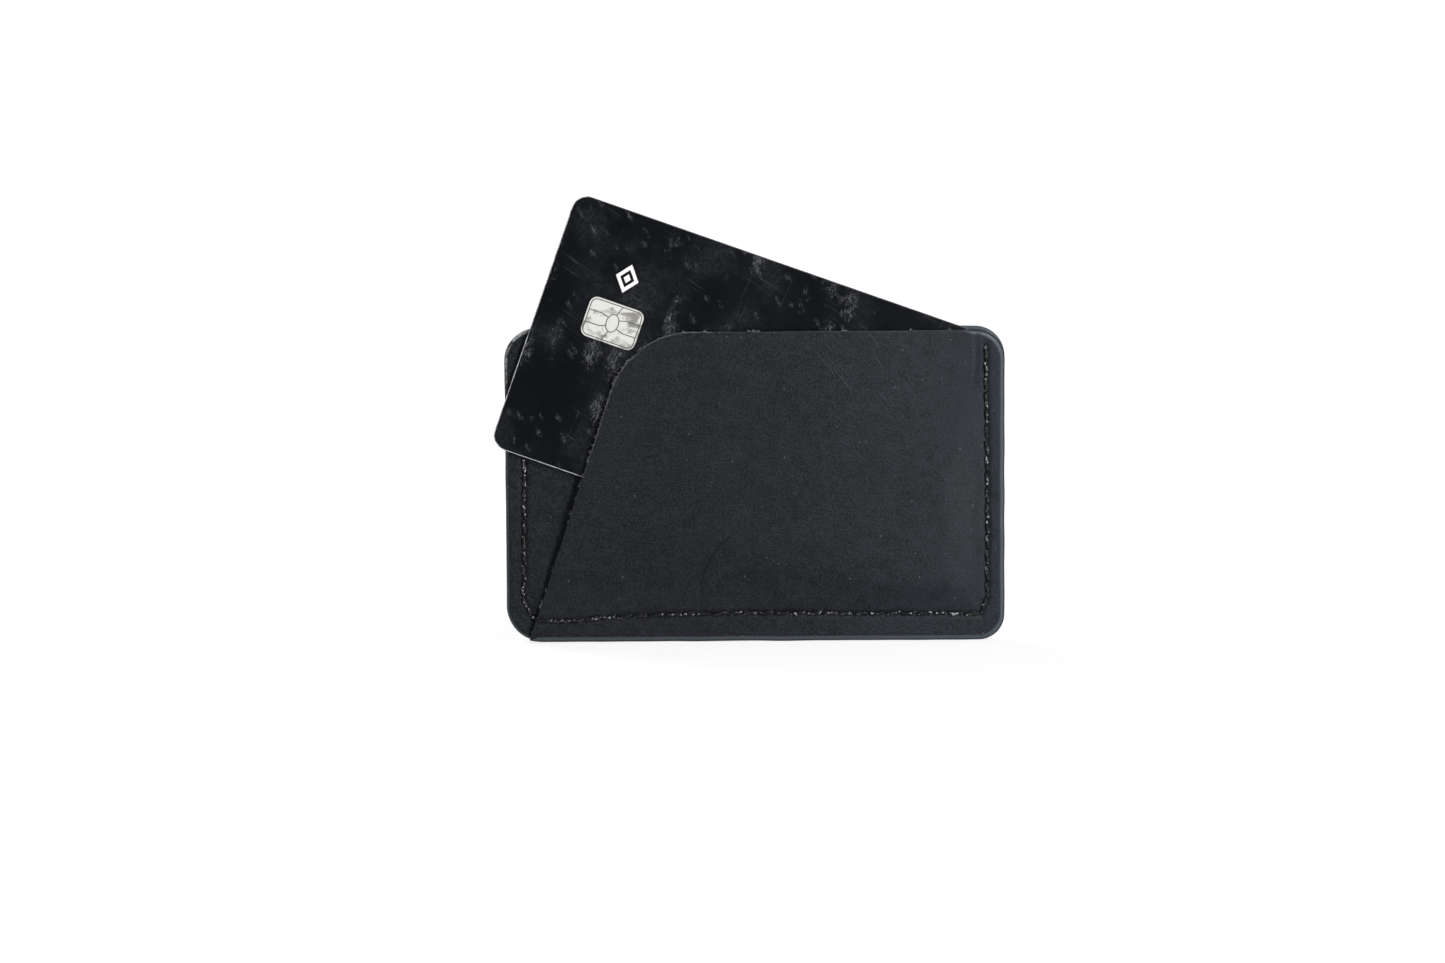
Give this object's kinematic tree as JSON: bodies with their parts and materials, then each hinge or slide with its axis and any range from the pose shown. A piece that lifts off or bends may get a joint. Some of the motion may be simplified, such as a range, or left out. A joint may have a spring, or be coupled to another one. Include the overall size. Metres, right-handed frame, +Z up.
{
  "type": "card holder",
  "caption": "Slim stitched leather card holder with a slanted front pocket, a main pocket behind it, and a chip card that slides out of the front pocket.",
  "frame": {"origin": "middle of the flat bottom edge, in the middle panel's mid plane", "axes": "+X to the right as seen from the front, the front with the slanted pocket faces -Y, +Z up along the holder's height"},
  "size_m": [0.1031, 0.0066, 0.0903],
  "materials": {
    "black_leather": "waxed vegetable-tanned leather, satin, burnished edges",
    "waxed_thread": "waxed polyester or linen thread, satin",
    "card_plastic": "satin black, scuffed",
    "inlay_plastic": "matt core sheet",
    "aerial_track": "etched foil",
    "module_tape": "glass-epoxy tape and black potting",
    "contact_plating": "silver-coloured plating, lightly worn",
    "white_ink": "printed ink",
    "stripe_film": "magnetic film, glossy"
  },
  "bodies": {
    "holder": {"back_panel": "black_leather", "middle_panel": "black_leather", "front_panel": "black_leather", "seam_thread": "waxed_thread"},
    "card": {"card_front_sheet": "card_plastic", "card_inlay": "inlay_plastic", "card_back_sheet": "card_plastic", "card_antenna": "aerial_track", "chip_carrier": "module_tape", "contact_rim": "contact_plating", "chip_contacts": "contact_plating", "card_mark": "white_ink", "magnetic_stripe": "stripe_film"}
  },
  "joints": [
    {"name": "card_slide", "type": "slide", "parent": "holder", "child": "card", "axis": [-0.9421, 0, 0.3355], "range_m": [0, 0.072]}
  ]
}
